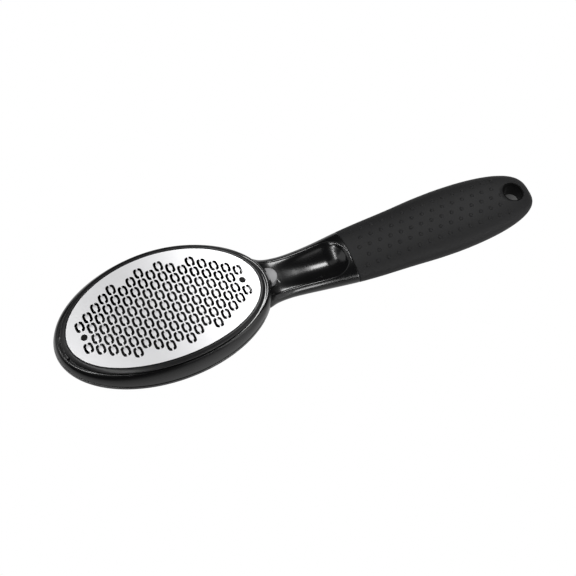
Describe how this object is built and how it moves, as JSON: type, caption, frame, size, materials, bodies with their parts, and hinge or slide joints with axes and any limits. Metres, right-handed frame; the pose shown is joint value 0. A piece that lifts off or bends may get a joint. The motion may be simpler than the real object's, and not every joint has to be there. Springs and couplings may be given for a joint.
{
  "type": "foot file",
  "caption": "Hand-held foot file: a bowed oval metal rasp plate in a hinged bezel over a hollow head, a latch button, a cranked neck with a thumb scoop, and a rubber grip with a hanging hole.",
  "frame": {"origin": "middle of the part's outer box, at the level of its lowest face, the underside of the grip", "axes": "+X along the handle from the toe of the head to the hanging hole, +Y across the file, +Z out of the file plate"},
  "size_m": [0.2224, 0.058, 0.025],
  "materials": {
    "plate_steel": "satin stainless sheet, fine grain, dull dark cut edges at the slots",
    "dull_black_plastic": "satin black moulding with a soft sheen",
    "gloss_black_plastic": "polished black moulding",
    "grey_plastic": "light grey moulding with a satin face",
    "black_rubber": "matt black soft rubber with rows of small raised bumps",
    "small_steel": "plain zinc-plated steel"
  },
  "bodies": {
    "handle": {"handle_body": "gloss_black_plastic", "base_cover": "gloss_black_plastic", "base_screws": "small_steel", "hinge_pin": "small_steel", "latch_cover": "gloss_black_plastic", "latch_screw": "small_steel", "latch_spring": "small_steel", "rubber_grip": "black_rubber"},
    "lid": {"bezel_frame": "dull_black_plastic", "file_plate": "plate_steel", "plate_rivets": "dull_black_plastic"},
    "latch": {"latch_button": "grey_plastic"}
  },
  "joints": [
    {"name": "lid_hinge", "type": "hinge", "parent": "handle", "child": "lid", "pos_m": [-0.10773, 0, 0.01905], "axis": [0, -1, 0], "range_deg": [0, 75]},
    {"name": "latch_slide", "type": "slide", "parent": "handle", "child": "latch", "axis": [1, 0, 0], "range_m": [0, 0.0016], "stiffness_N_per_m": 1500, "springref_m": -0.001, "deforming": ["latch_spring"]}
  ]
}
